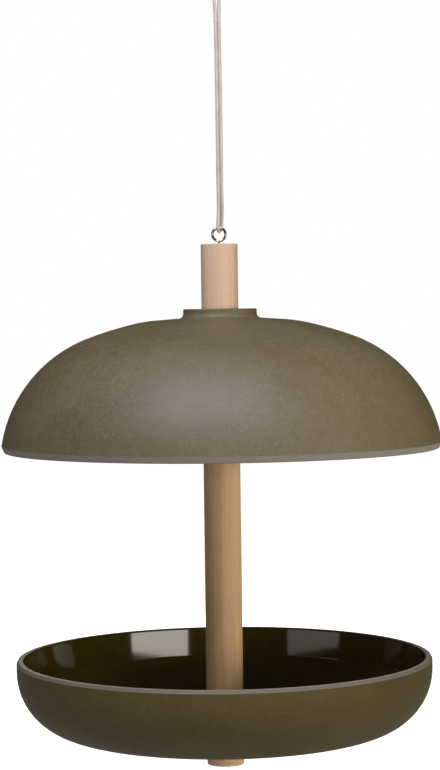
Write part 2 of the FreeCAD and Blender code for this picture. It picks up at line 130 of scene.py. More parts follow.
# The dowel screws' tapered ends: cuts along each, and the tip's radius beside the thread's. Points
# of their mesh that are as near as the weld are one.
TAPER_CUTS = 6
TAPER_TIP = 0.5
WELD = 1e-6

# Edges of the cord's mesh for each rib round it and each stitch along it, and control points in
# one wrap of the knot, with how far in the wraps' two ends are tucked.
SIDES_PER_CARRIER = 6
RINGS_PER_PICK = 6
POINTS_PER_WRAP = 12
WRAP_TUCK = 0.3

# The cord's round ends: their length beside the radius, and the least square of the tip's radius.
END_LENGTH = 0.7
END_TIP = 0.04

# The cord's route, from the knot down the left strand, through the ring of the screw eye from
# front to back, and up the right strand into the knot again.
CORD_ROUTE = [
    (-0.0013, 0.0, 0.0046),
    (-0.0038, 0.0001, -0.0004),
    (-0.0052, 0.0002, -0.0054),
    (-0.0022, 0.0001, -0.011),
    (-0.0004, -0.0005, -0.0175),
    (-0.0001, -0.00045, -0.07),
    (-0.0001, -0.0005, -0.118),
    (0.0001, -0.0018, -0.132),
    (-0.0009, -0.0025, -0.143),
    (0.0011, 0.0025, -0.143),
    (0.0019, 0.0017, -0.135),
    (0.00175, 0.0006, -0.123),
    (0.00175, 0.00045, -0.072),
    (0.00145, 0.0005, -0.019),
    (0.002, -0.0001, -0.0118),
    (0.0051, -0.0002, -0.006),
    (0.004, -0.0001, -0.0008),
    (0.0013, 0.0, 0.0046),
]

# The two ends of the cord inside the knot and out of its top as tails.
TAIL_ROUTES = [
    [
        (-0.0013, 0.0, 0.0036),
        (-0.0011, -0.0003, 0.0066),
        (-0.0014, -0.0002, 0.0098),
        (-0.0029, 0.0001, 0.0135),
        (-0.0047, 0.0004, 0.0164),
        (-0.0052, 0.0002, 0.0186),
    ],
    [
        (0.0013, 0.0, 0.0036),
        (0.0011, 0.0003, 0.0066),
        (0.0013, 0.0002, 0.0098),
        (0.0025, -0.0003, 0.0129),
        (0.0044, -0.0004, 0.0155),
        (0.0054, 0.0, 0.0182),
    ],
]


def colour_property(name, description, default):
    """A colour that a user can change."""
    return FloatVectorProperty(
        name=name, description=description, default=default, subtype="COLOR", size=3, min=0, max=1
    )


def place_property(name, description, default):
    """A distance in metres along an axis, either way, that a user can change."""
    return FloatProperty(name=name, description=description, default=default, unit="LENGTH")


def angle_property(name, description, degrees):
    """An angle that a user can change."""
    return FloatProperty(
        name=name, description=description, default=math.radians(degrees), subtype="ANGLE"
    )


def length_property(name, description, default):
    """A length in metres that a user can change."""
    return FloatProperty(
        name=name, description=description, default=default, min=0, unit="LENGTH", precision=5
    )


class CordSettings(bpy.types.PropertyGroup):
    """Sizes and colour of the hanging cord and its knot."""

    diameter: length_property("Diameter", "Thickness of the cord", 0.002)
    pick: length_property("Pick", "Length of one stitch of the braid along the cord", 0.0014)
    carriers: IntProperty(
        name="Carriers", description="Ribs of the braid each way round", default=6, min=2
    )
    relief: FloatProperty(
        name="Relief", description="Depth of the braid as a share of the radius", default=0.07,
        subtype="FACTOR",
    )
    wraps: IntProperty(
        name="Wraps", description="Turns of the knot round the two strands", default=3, min=1
    )
    wrap_radius: length_property("Wrap radius", "Middle of the knot's wraps from its axis", 0.0027)
    wrap_start: length_property("Wrap start", "Lowest wrap above the hook point", 0.0038)
    colour: colour_property("Colour", "Undyed cotton", (0.53, 0.46, 0.415))


class ScrewSettings(bpy.types.PropertyGroup):
    """Sizes of the threads on the dowel screws."""

    pitch: length_property("Pitch", "Rise of the thread in one turn", 0.0025)
    depth: length_property("Depth", "Height of the thread above its root", 0.0008)
    point: length_property("Point", "Length of the tapered end", 0.003)
    steps: IntProperty(
        name="Steps", description="Edges in one turn of the thread", default=32, min=8
    )


class FinishSettings(bpy.types.PropertyGroup):
    """Colours of the moulded shells and the wood."""

    shell: colour_property("Shell", "Moulded olive-brown composite", (0.11, 0.08, 0.028))
    shell_pale: colour_property(
        "Shell pale", "Paler patches and fibres of the composite", (0.29, 0.25, 0.17)
    )
    # Painted light: the band is paler and greyer than the composite for the light on each rim's
    # edge.
    band: colour_property("Band", "Cut band round each rim", (0.29, 0.255, 0.205))
    # Painted shade: the dish is the roof's composite, painted darker and more olive for the shade
    # it is in under the roof.
    dish_painted_shade: colour_property(
        "Dish tone", "Shade of the dish beside the roof", (0.61, 0.55, 0.295)
    )
    inside: colour_property("Inside", "Polished inner face of a shell", (0.08, 0.054, 0.005))
    beech: colour_property("Beech", "Early wood", (0.62, 0.43, 0.28))
    beech_dark: colour_property("Beech dark", "Late wood", (0.47, 0.31, 0.2))


class StageSettings(bpy.types.PropertyGroup):
    """Camera and floor."""

    lens: FloatProperty(name="Lens", description="Focal length", default=105, min=1, unit="CAMERA")
    distance: length_property("Distance", "Camera to the post's axis", 1.235)
    height: place_property("Height", "Camera above the hook point", -0.1852)
    side: place_property("Side", "Camera to the right of the axis", -0.0005)
    pitch: angle_property("Pitch", "How far the camera looks down", 1.96)
    roll: angle_property("Roll", "Turn about the line of sight", -0.75)
    floor: place_property("Floor", "Floor above the hook point", -0.62)


class FeederSettings(bpy.types.PropertyGroup):
    """Everything about the feeder that a user can change."""

    cord: PointerProperty(type=CordSettings)
    screw: PointerProperty(type=ScrewSettings)
    finish: PointerProperty(type=FinishSettings)
    stage: PointerProperty(type=StageSettings)


def deselect_all():
    """Leaves object mode with nothing selected."""
    if bpy.context.object and bpy.context.object.mode != "OBJECT":
        bpy.ops.object.mode_set(mode="OBJECT")
    bpy.ops.object.select_all(action="DESELECT")


def fill_inputs(tree, node, inputs):
    """Fills a node's inputs with values or links."""
    for key, value in inputs.items():
        if isinstance(value, bpy.types.NodeSocket):
            tree.links.new(value, node.inputs[key])
        else:
            node.inputs[key].default_value = value


def add_node(tree, kind, inputs=None, **settings):
    """A node with its settings, and its inputs filled with values or links."""
    made = tree.nodes.new(kind)
    for key, value in settings.items():
        setattr(made, key, value)
    fill_inputs(tree, made, inputs or {})
    return made


def maths(tree, operation, *values):
    """The result of a Math node on values or sockets."""
    inputs = dict(enumerate(values))
    return add_node(tree, "ShaderNodeMath", inputs, operation=operation).outputs[0]


def vector_maths(tree, operation, *values):
    """A Vector Math node on vectors or sockets."""
    return add_node(tree, "ShaderNodeVectorMath", dict(enumerate(values)), operation=operation)


def ramp(tree, value, low, high):
    """A value taken smoothly from 0 at low to 1 at high."""
    inputs = {"Value": value, "From Min": low, "From Max": high}
    return add_node(tree, "ShaderNodeMapRange", inputs, interpolation_type="SMOOTHSTEP").outputs[0]


def between(tree, value, low, high):
    """A value from low to high for a mask from 0 to 1."""
    inputs = {"Value": value, "To Min": low, "To Max": high}
    return add_node(tree, "ShaderNodeMapRange", inputs).outputs[0]


def mix(tree, mask, first, second, blend="MIX"):
    """Two colours mixed by a mask."""
    inputs = {0: mask, 6: first, 7: second}
    return add_node(
        tree, "ShaderNodeMix", inputs, data_type="RGBA", blend_type=blend
    ).outputs[2]


def noise(tree, place, scale, detail=2.0, rough=0.5):
    """Noise from 0 to 1."""
    inputs = {"Vector": place, "Scale": scale, "Detail": detail, "Roughness": rough}
    return add_node(tree, "ShaderNodeTexNoise", inputs).outputs[0]


def stretched(tree, place, scale, turn=(0.0, 0.0, 0.0)):
    """A place turned and scaled, so that a pattern runs along one direction."""
    inputs = {"Vector": place, "Scale": scale, "Rotation": turn}
    return add_node(tree, "ShaderNodeMapping", inputs).outputs[0]


def specks(tree, place, scale, reach, share):
    """A mask of round specks, with that reach in cell sizes, on that share of the cells."""
    cells = add_node(tree, "ShaderNodeTexVoronoi", {"Vector": place, "Scale": scale})
    near = ramp(tree, cells.outputs["Distance"], reach, reach * SPECK_CORE)
    chosen = add_node(tree, "ShaderNodeSeparateColor", {0: cells.outputs["Color"]}).outputs[0]
    return maths(tree, "MULTIPLY", near, maths(tree, "LESS_THAN", chosen, share))


def new_group(name, inputs, outputs):
    """An empty shader node group with those sockets, and its input and output nodes."""
    tree = bpy.data.node_groups.new(name, "ShaderNodeTree")
    for label, kind in inputs:
        tree.interface.new_socket(label, in_out="INPUT", socket_type=kind)
    for label, kind in outputs:
        tree.interface.new_socket(label, in_out="OUTPUT", socket_type=kind)
    return tree, tree.nodes.new("NodeGroupInput"), tree.nodes.new("NodeGroupOutput")


def use_group(tree, name, make, inputs):
    """A shared group placed in a material with its own values, and made at its first use."""
    group = bpy.data.node_groups.get(name) or make(name)
    return add_node(tree, "ShaderNodeGroup", inputs, node_tree=group)


def composite_group(name):
    """Moulded composite: broad and fine mottle, pale fibres, and pale and dark specks."""
    sockets = [("Place", VECTOR), ("Body", COLOUR), ("Pale", COLOUR), ("Specks", VALUE)]
    tree, start, end = new_group(name, sockets, SURFACE)
    place, colour, pale, amount = [start.outputs[label] for label, kind in sockets]
    broad = ramp(tree, noise(tree, place, 22, detail=3), 0.35, 0.68)
    fine = ramp(tree, noise(tree, place, 260, detail=3, rough=0.6), 0.3, 0.7)
    grains = ramp(tree, noise(tree, place, 900, detail=2, rough=0.6), 0.35, 0.7)
    for mottle, share in ((broad, 0.1), (fine, 0.09), (grains, 0.1)):
        colour = mix(tree, between(tree, mottle, 0, share), colour, pale)
    dark = specks(tree, place, 620, reach=0.34, share=0.3)
    colour = mix(tree, between(tree, dark, 0, 0.22), colour, DARK_SPECK)
    along = stretched(tree, place, (900, 900, 170), turn=(0.5, 0.3, 0.7))
    across = stretched(tree, place, (170, 900, 900), turn=(0.2, 0.6, 0.4))
    light = specks(tree, place, 900, reach=0.36, share=0.34)
    for more in (
        specks(tree, place, 330, reach=0.2, share=0.07),
        specks(tree, along, 1, reach=0.3, share=0.1),
        specks(tree, across, 1, reach=0.3, share=0.1),
    ):
        light = maths(tree, "MAXIMUM", light, more)
    colour = mix(tree, maths(tree, "MULTIPLY", light, amount), colour, pale)
    grit = noise(tree, place, 1500, detail=2, rough=0.6)
    smooth = maths(tree, "MULTIPLY", light, -0.06)
    rough = maths(tree, "ADD", between(tree, fine, 0.5, 0.58), smooth)
    height = maths(tree, "ADD", grit, maths(tree, "MULTIPLY", light, 0.5))
    fill_inputs(tree, end, {"Color": colour, "Roughness": rough, "Height": height})
    return tree


def inner_face_group(name):
    """Mask of a shell's inner faces, which look towards a point on the post's axis."""
    sockets = [("Place", VECTOR), ("Normal", VECTOR), ("Middle height", VALUE)]
    tree, start, end = new_group(
        name, sockets, [("Mask", VALUE), ("Height", VALUE), ("Radius", VALUE)]
    )
    place, normal, level = [start.outputs[label] for label, kind in sockets]
    axes = add_node(tree, "ShaderNodeSeparateXYZ", {0: place}).outputs
    middle = add_node(tree, "ShaderNodeCombineXYZ", {"Z": level}).outputs[0]
    away = vector_maths(tree, "SUBTRACT", place, middle).outputs["Vector"]
    facing = vector_maths(tree, "DOT_PRODUCT", away, normal).outputs["Value"]
    flat = add_node(tree, "ShaderNodeCombineXYZ", {"X": axes["X"], "Y": axes["Y"]}).outputs[0]
    fill_inputs(tree, end, {
        "Mask": maths(tree, "LESS_THAN", facing, 0.0),
        "Height": axes["Z"],
        "Radius": vector_maths(tree, "LENGTH", flat).outputs["Value"],
    })
    return tree


def beech_group(name):
    """Beech: growth bands and fine fibres along the post, short dark flecks and cut end grain."""
    sockets = [
        ("Place", VECTOR), ("Normal", VECTOR), ("Early", COLOUR), ("Late", COLOUR),
        ("Fleck", COLOUR),
    ]
    tree, start, end = new_group(name, sockets, SURFACE)
    place, normal, early, dark, fleck = [start.outputs[label] for label, kind in sockets]

    def streaks(scale, detail, rough=0.5):
        """Noise drawn out along the post."""
        return noise(tree, stretched(tree, place, scale), 1, detail, rough)

    def pits(scale, reach, share):
        """Specks drawn out along the post."""
        return specks(tree, stretched(tree, place, scale), 1, reach, share)

    def times(value, share):
        """A value or mask multiplied."""
        return maths(tree, "MULTIPLY", value, share)

    wander = times(times(streaks((9, 9, 5), 2), 1.6), 2.2)
    axes = add_node(tree, "ShaderNodeSeparateXYZ", {0: place}).outputs
    across = maths(tree, "ADD", times(axes["X"], 150), times(axes["Y"], 95))
    bands = maths(tree, "FRACT", maths(tree, "ADD", across, wander))
    late = times(ramp(tree, bands, 0.25, 0.95), ramp(tree, bands, 1.0, 0.75))
    fibre = ramp(tree, streaks((900, 900, 24), 3, 0.6), 0.3, 0.72)
    streak = ramp(tree, streaks((260, 260, 6), 2), 0.35, 0.7)
    grain = between(tree, streaks((1500, 1500, 700), 2, 0.6), -0.42, 0.58)
    depth = maths(tree, "ADD", times(late, 0.24), times(streak, 0.35))
    depth = maths(tree, "ADD", depth, times(fibre, 0.25))
    depth = maths(tree, "ADD", depth, grain)
    upright = add_node(tree, "ShaderNodeSeparateXYZ", {0: normal}).outputs["Z"]
    cut = ramp(tree, maths(tree, "ABSOLUTE", upright), 0.7, 0.95)
    marks = times(pits((1500, 1500, 260), 0.42, 0.3), maths(tree, "SUBTRACT", 1.0, cut))
    pores = times(pits((2600, 2600, 300), 0.4, 0.6), cut)
    colour = mix(tree, depth, early, dark)
    colour = mix(tree, times(marks, 0.13), colour, fleck)
    colour = mix(tree, between(tree, cut, 0, 0.35), colour, dark, "MULTIPLY")
    colour = mix(tree, times(pores, 0.35), colour, fleck)
    fill_inputs(tree, end, {
        "Color": colour,
        "Roughness": between(tree, fibre, 0.5, 0.66),
        "Height": maths(tree, "SUBTRACT", times(fibre, 0.5), times(marks, 0.5)),
    })
    return tree


def handled_metal_group(name):
    """Plated metal: cloudy gloss and fine scratches."""
    sockets = [
        ("Place", VECTOR), ("Clean", COLOUR), ("Dull", COLOUR), ("Low", VALUE), ("High", VALUE)
    ]
    tree, start, end = new_group(name, sockets, SURFACE)
    place, clean, dull, low, high = [start.outputs[label] for label, kind in sockets]
    cloud = ramp(tree, noise(tree, place, 400, detail=4, rough=0.6), 0.35, 0.7)
    lines = stretched(tree, place, (5000, 5000, 500), turn=(0.4, 0.2, 0))
    scratch = ramp(tree, noise(tree, lines, 1), 0.62, 0.74)
    rough = between(tree, cloud, low, high)
    fill_inputs(tree, end, {
        "Color": mix(tree, between(tree, cloud, 0, 0.6), clean, dull),
        "Roughness": maths(tree, "ADD", rough, maths(tree, "MULTIPLY", scratch, 0.1)),
        "Height": maths(tree, "SUBTRACT", maths(tree, "MULTIPLY", cloud, 0.3), scratch),
    })
    return tree


def new_material(name):
    """A node material with its shader and its coordinates."""
    material = bpy.data.materials.new(name)
    material.use_nodes = True
    tree = material.node_tree
    tree.nodes.clear()
    shader = tree.nodes.new("ShaderNodeBsdfPrincipled")
    add_node(tree, "ShaderNodeOutputMaterial", {"Surface": shader.outputs[0]})
    coords = tree.nodes.new("ShaderNodeTexCoord").outputs
    return material, tree, shader, coords


def finish_shader(tree, shader, surface, strength, distance, **others):
    """Feeds the shader a surface's colour, roughness and bump, and values for other inputs."""
    colour, rough, height = surface
    bump = add_node(
        tree, "ShaderNodeBump", {"Height": height, "Strength": strength, "Distance": distance}
    )
    fill_inputs(tree, shader, {
        "Base Color": colour, "Roughness": rough, "Normal": bump.outputs[0], **others,
    })


def surface_of(group):
    """The colour, roughness and height that a placed group gives."""
    return [group.outputs[label] for label, kind in SURFACE]


def with_painted_shading(colour, painted_shading):
    """A colour with each channel multiplied by its painted shading, as a node takes it."""
    return (*(value * part for value, part in zip(colour, painted_shading)), 1)


def shell_material(name, finish, painted_shading, sheen, tint, flecks, middle, band, hub=None, highlight_lip=None):
    """Matt moulded composite outside, a paler band of painted light at the rim, and a polish
    inside.

    painted_shading is shade painted on the composite, sheen and tint are the strength and colour of
    its gloss, and flecks is how much its pale specks show. Faces that look towards the height
    middle on the axis are inside. The band of painted light begins at the first height in band and
    is full at the second. Everything within hub, a radius and a height, is inside too.
    highlight_lip is the radius of a rim's top, where a paler highlight is painted.
    """
    material, tree, shader, coords = new_material(name)
    place = coords["Object"]
    face = use_group(tree, "Inner face", inner_face_group, {
        "Place": place, "Normal": coords["Normal"], "Middle height": middle,
    }).outputs
    inside = face["Mask"]
    if hub:
        core = maths(tree, "LESS_THAN", face["Radius"], hub[0])
        under = maths(tree, "LESS_THAN", face["Height"], hub[1])
        inside = maths(tree, "MAXIMUM", inside, maths(tree, "MULTIPLY", core, under))
    outside = maths(tree, "SUBTRACT", 1.0, inside)
    shell = use_group(tree, "Moulded composite", composite_group, {
        "Place": place, "Body": with_painted_shading(finish.shell, painted_shading), "Pale": with_painted_shading(finish.shell_pale, painted_shading),
        "Specks": flecks,
    }).outputs
    # Painted light: a paler, greyer band round the rim's outside for the light on its edge.
    cut = maths(tree, "MULTIPLY", ramp(tree, face["Height"], *band), outside)
    rim = with_painted_shading(finish.band, [painted_shading[0]] * 3)
    # Painted highlight: the rim's flat top, inside the radius highlight_lip, is painted paler.
    if highlight_lip:
        top = ramp(tree, face["Radius"], highlight_lip, highlight_lip - LIP_EDGE)
        rim = mix(tree, top, rim, with_painted_shading(rim, [LIP_HIGHLIGHT_GAIN] * 3))
    colour = mix(tree, maths(tree, "MULTIPLY", cut, 0.8), shell["Color"], rim)
    dusty = noise(tree, place, 90, detail=4, rough=0.6)
    polished = mix(
        tree, between(tree, dusty, 0, 0.5), (*finish.inside, 1), (*finish.shell, 1), "SOFT_LIGHT"
    )
    colour = mix(tree, inside, colour, polished)
    gloss = between(tree, dusty, 0.04, 0.1)
    rough = add_node(tree, "ShaderNodeMix", {0: inside, 2: shell["Roughness"], 3: gloss}).outputs[0]
    relief = maths(tree, "MULTIPLY", shell["Height"], between(tree, inside, 1, 0.08))
    mirrored = tree.nodes.new("ShaderNodeLightPath").outputs["Is Glossy Ray"]
    polish = between(tree, mirrored, 1.0, MIRRORED_POLISH)
    finish_shader(tree, shader, (colour, rough, relief), strength=0.35, distance=0.0003, **{
        "Coat Weight": maths(tree, "MULTIPLY", inside, polish), "Coat Roughness": 0.07,
        "Specular IOR Level": sheen, "Specular Tint": (*tint, 1),
    })
    return material


def beech_material(name, early, late):
    """Sanded bare beech."""
    material, tree, shader, coords = new_material(name)
    grain = use_group(tree, "Beech grain", beech_group, {
        "Place": coords["Object"], "Normal": coords["Normal"], "Early": early, "Late": late,
        "Fleck": BEECH_FLECK,
    })
    finish_shader(tree, shader, surface_of(grain), strength=0.15, distance=0.0001, **{
        "Specular IOR Level": 0.4,
    })
    return material


def metal_material(name, clean, dull, low, high):
    """Plated wire or screw steel, with a roughness from low to high."""
    material, tree, shader, coords = new_material(name)
    plate = use_group(tree, "Handled metal", handled_metal_group, {
        "Place": coords["Object"], "Clean": (*clean, 1), "Dull": (*dull, 1), "Low": low,
        "High": high,
    })
    finish_shader(tree, shader, surface_of(plate), strength=0.2, distance=0.00005, Metallic=1)
    return material


def rubber_material():
    """Black rubber with a grey bloom."""
    material, tree, shader, coords = new_material("black_rubber")
    bloom = ramp(tree, noise(tree, coords["Object"], 300, detail=4, rough=0.6), 0.35, 0.75)
    colour = mix(tree, bloom, RUBBER, RUBBER_BLOOM)
    rough = between(tree, bloom, 0.55, 0.8)
    grit = noise(tree, coords["Object"], 3000)
    finish_shader(tree, shader, (colour, rough, grit), strength=0.3, distance=0.0001)
    return material


def cord_material(colour):
    """Braided cotton: shade between the ribs of its braid, paler patches and fine yarn."""
    material, tree, shader, coords = new_material("braided_cotton")
    weave = add_node(tree, "ShaderNodeAttribute", attribute_name="braid").outputs["Fac"]
    lines = stretched(tree, coords["UV"], (60, 9, 1), turn=(0, 0, 0.6))
    yarn = noise(tree, lines, 1, detail=3, rough=0.6)
    patches = ramp(tree, noise(tree, coords["Object"], 60, detail=3), 0.3, 0.7)
    shade = with_painted_shading(colour, [COTTON_PAINTED_SHADE] * 3)
    base = mix(tree, ramp(tree, weave, 0.0, 0.8), shade, (*colour, 1))
    base = mix(tree, between(tree, yarn, 0, 0.22), base, shade)
    base = mix(tree, between(tree, patches, 0, 0.2), base, COTTON_PALE)
    rough = between(tree, yarn, 0.75, 0.95)
    finish_shader(tree, shader, (base, rough, yarn), strength=0.4, distance=0.0001, **{
        "Sheen Weight": 0.15, "Specular IOR Level": 0.25,
    })
    return material


def dress(obj, material):
    """Gives a piece its one finish."""
    obj.data.materials.clear()
    obj.data.materials.append(material)


def dress_node(node, material):
    """Gives a carried-over node its finish."""
    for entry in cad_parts[node].material_slots:
        entry.material = material


def spline_points(route):
    """Points in order along the smooth line that a cord's route controls."""
    curve = bpy.data.curves.new("cord_line", "CURVE")
    curve.dimensions = "3D"
    line = curve.splines.new("NURBS")
    line.points.add(len(route) - 1)
    for point, place in zip(line.points, route):
        point.co = (*place, 1.0)
    line.order_u = 3
    line.use_endpoint_u = True
    line.resolution_u = 48
    holder = bpy.data.objects.new("cord_line", curve)
    bpy.context.collection.objects.link(holder)
    mesh = bpy.data.meshes.new_from_object(holder)
    points = [vertex.co.copy() for vertex in mesh.vertices]
    bpy.data.objects.remove(holder)
    bpy.data.curves.remove(curve)
    bpy.data.meshes.remove(mesh)
    return points


def even_points(points, step):
    """Points at even steps along a line, so that the braid keeps its pitch."""
    spots = [0.0]
    for first, second in zip(points, points[1:]):
        spots.append(spots[-1] + (second - first).length)
    count = round(spots[-1] / step)
    made = []
    index = 0
    for turn in range(count + 1):
        reach = spots[-1] * turn / count
        while index < len(points) - 2 and spots[index + 1] < reach:
            index += 1
        share = (reach - spots[index]) / max(spots[index + 1] - spots[index], 1e-12)
        made.append(points[index].lerp(points[index + 1], share))
    return made


def braided_tube(name, lines, settings):
    """One mesh of braided cord along each line of points, with closed round ends.

    Its braid attribute is 0 between the ribs and 1 on them, and its map counts picks along it.
    """
    sides = settings.carriers * SIDES_PER_CARRIER
    radius = settings.diameter / 2
    verts, faces, uvs, shades = [], [], [], []
    for line in lines:
        step = (line[1] - line[0]).length
        tangent = (line[1] - line[0]).normalized()
        across = tangent.orthogonal().normalized()
        first = len(verts)
        last = len(line) - 1
        for ring, point in enumerate(line):
            before, after = line[max(ring - 1, 0)], line[min(ring + 1, last)]
            tangent = (after - before).normalized()
            across = (across - tangent * across.dot(tangent)).normalized()
            other = tangent.cross(across)
            edge = min(ring, last - ring) * step
            beyond = max(0.0, 1 - edge / (radius * END_LENGTH))
            closing = math.sqrt(max(END_TIP, 1 - beyond ** 2))
            along = 2 * math.pi * ring * step / settings.pick
            for side in range(sides):
                angle = 2 * math.pi * side / sides
                around = settings.carriers * angle
                rib = math.sin(around + along) * math.sin(around - along)
                reach = radius * closing * (1 - settings.relief * (0.5 - 0.5 * rib))
                outward = across * math.cos(angle) + other * math.sin(angle)
                verts.append(point + outward * reach)
                shades.append(0.5 + 0.5 * rib)
        for ring in range(last):
            near = first + ring * sides
            far = near + sides
            low, high = ring * step / settings.pick, (ring + 1) * step / settings.pick
            for side in range(sides):
                turn = (side + 1) % sides
                faces.append((near + side, near + turn, far + turn, far + side))
                left, right = side / sides, (side + 1) / sides
                uvs += [(left, low), (right, low), (right, high), (left, high)]
        top = first + last * sides
        for cap in (range(first + sides - 1, first - 1, -1), range(top, top + sides)):
            faces.append(tuple(cap))
            uvs += [(0.5, 0.5)] * sides
    mesh = bpy.data.meshes.new(name)
    mesh.from_pydata(verts, [], faces)
    layer = mesh.uv_layers.new(name="UVMap")
    layer.data.foreach_set("uv", [value for pair in uvs for value in pair])
    mesh.attributes.new("braid", "FLOAT", "POINT").data.foreach_set("value", shades)
    mesh.shade_smooth()
    obj = bpy.data.objects.new(name, mesh)
    bpy.context.collection.objects.link(obj)
    return obj


def select_between(mesh, low, high):
    """Selects in edit mode the points between two heights."""
    bpy.ops.object.mode_set(mode="OBJECT")
    for item in (*mesh.vertices, *mesh.edges, *mesh.polygons):
        item.select = False
    for vertex in mesh.vertices:
        vertex.select = low <= vertex.co.z <= high
    bpy.ops.object.mode_set(mode="EDIT")


def threaded_rod(name, low, high, radius, settings):
    """A double-ended screw from low to high on the axis.

    One tooth is drawn from a single point and screwed up the axis, and both ends are cut flat and
    tapered.
    """
    deselect_all()
    start = low - settings.pitch
    root = radius - settings.depth
    bpy.ops.mesh.primitive_plane_add(size=0.001, location=(0, 0, 0))
    rod = bpy.context.object
    rod.name = rod.data.name = name
    bpy.ops.object.mode_set(mode="EDIT")
    bpy.ops.mesh.select_all(action="SELECT")
    bpy.ops.mesh.merge(type="CENTER")
    bpy.ops.transform.translate(value=(root, 0, start))
    for out, rise in TOOTH:
        move = (out * settings.depth, 0, rise * settings.pitch)
        bpy.ops.mesh.extrude_region_move(TRANSFORM_OT_translate={"value": move})
    bpy.ops.object.mode_set(mode="OBJECT")
    screw = rod.modifiers.new("thread", "SCREW")
    screw.screw_offset = settings.pitch
    screw.iterations = math.ceil((high - low) / settings.pitch) + 2
    screw.steps = screw.render_steps = settings.steps
    screw.use_merge_vertices = True
    screw.merge_threshold = WELD
    bpy.ops.object.modifier_apply(modifier="thread")
    bpy.ops.object.mode_set(mode="EDIT")
    for height, direction in ((low, -1), (high, 1)):
        bpy.ops.mesh.select_all(action="SELECT")
        bpy.ops.mesh.bisect(
            plane_co=(0, 0, height), plane_no=(0, 0, direction), use_fill=True, clear_outer=True
        )
    shrink = TAPER_TIP ** (1 / TAPER_CUTS)
    for cut in range(TAPER_CUTS):
        reach = settings.point * (1 - cut / TAPER_CUTS)
        for first, second in ((low - 1, low + reach), (high - reach, high + 1)):
            select_between(rod.data, first, second)
            bpy.ops.transform.resize(
                value=(shrink, shrink, 1), center_override=(0, 0, (first + second) / 2)
            )
    bpy.ops.mesh.select_all(action="SELECT")
    bpy.ops.mesh.remove_doubles(threshold=WELD)
    bpy.ops.mesh.normals_make_consistent(inside=False)
    bpy.ops.object.mode_set(mode="OBJECT")
    bpy.ops.object.shade_smooth_by_angle(angle=math.radians(35))
    return rod


def knot_wraps(settings):
    """Control points of the knot's wraps, with both ends tucked in."""
    last = POINTS_PER_WRAP * settings.wraps
    points = []
    for index in range(-1, last + 2):
        angle = 2 * math.pi * (index / POINTS_PER_WRAP + 0.25)
        reach = settings.wrap_radius * (1.0 if 0 <= index <= last else WRAP_TUCK)
        height = settings.wrap_start + settings.diameter * index / POINTS_PER_WRAP
        points.append((reach * math.cos(angle), reach * math.sin(angle), height))
    return points


def add_camera(context, settings):
    """The camera at the front view."""
    bpy.ops.object.camera_add()
    camera = context.object
    camera.name = "front_camera"
    camera.data.lens = settings.lens
    camera.data.sensor_width = 36
    camera.data.clip_start = 0.01
    place = Matrix.Translation((settings.side, -settings.distance, settings.height))
    tilt = Matrix.Rotation(math.pi / 2 - settings.pitch, 4, "X")
    camera.matrix_world = place @ tilt @ Matrix.Rotation(settings.roll, 4, "Z")
    context.scene.camera = camera


def add_floor(context, height):
    """A pale floor that is white to the camera, glows a little, and can't be seen from below."""
    bpy.ops.mesh.primitive_plane_add(size=16, location=(0, 0, height))
    floor = context.object
    floor.name = "pale_floor"
    material, tree, shader, coords = new_material("pale_paper")
    seen = tree.nodes.new("ShaderNodeLightPath").outputs["Is Camera Ray"]
    under = tree.nodes.new("ShaderNodeNewGeometry").outputs["Backfacing"]
    fill_inputs(tree, shader, {
        "Base Color": mix(tree, noise(tree, coords["Object"], 3), PAPER, PAPER_PALE),
        "Roughness": 0.9,
        "Emission Color": WHITE,
        "Emission Strength": between(tree, seen, FLOOR_GLOW, 1.0),
        "Alpha": maths(tree, "SUBTRACT", 1.0, under),
    })
    dress(floor, material)


def add_lights(context):
    """The area lights, each turned to the aim point."""
    for name, (azimuth, elevation, distance, size, power, colour, mirrored) in LIGHTS.items():
        turn, rise = math.radians(azimuth), math.radians(elevation)
        level = math.cos(rise)
        away = Vector((math.sin(turn) * level, -math.cos(turn) * level, math.sin(rise)))
        bpy.ops.object.light_add(type="AREA", location=LIGHT_AIM + away * distance)
        light = context.object
        light.name = name
        light.rotation_euler = away.to_track_quat("Z", "Y").to_euler()
        light.data.shape = "RECTANGLE"
        light.data.size, light.data.size_y = size
        light.data.energy = power
        light.data.color = colour
        light.visible_glossy = mirrored


def add_room(context):
    """A room that is white to the camera, dim to the feeder, and almost dark in a mirror."""
    world = bpy.data.worlds.new("pale_room")
    world.use_nodes = True
    tree = world.node_tree
    tree.nodes.clear()
    path = tree.nodes.new("ShaderNodeLightPath").outputs
    power = between(tree, path["Is Glossy Ray"], ROOM_LIGHT, ROOM_MIRRORED)
    glow = add_node(tree, "ShaderNodeBackground", {"Color": WHITE, "Strength": power})
    seen = add_node(tree, "ShaderNodeBackground", {"Color": WHITE, "Strength": 1.0})
    both = add_node(tree, "ShaderNodeMixShader", {
        0: path["Is Camera Ray"], 1: glow.outputs[0], 2: seen.outputs[0],
    })
    add_node(tree, "ShaderNodeOutputWorld", {"Surface": both.outputs[0]})
    context.scene.world = world


class FEEDER_OT_stage(bpy.types.Operator):
    """Sets the camera at the front view, with soft studio light over a pale floor"""

    bl_idname = "feeder.stage"
    bl_label = "Set Stage"

    def execute(self, context):
        """Makes the camera, floor, lights and room."""
        settings = context.scene.seed_feeder.stage
        deselect_all()
        add_camera(context, settings)
        add_floor(context, settings.floor)
        add_lights(context)
        add_room(context)
        context.scene.view_settings.view_transform = "Standard"
        return {"FINISHED"}


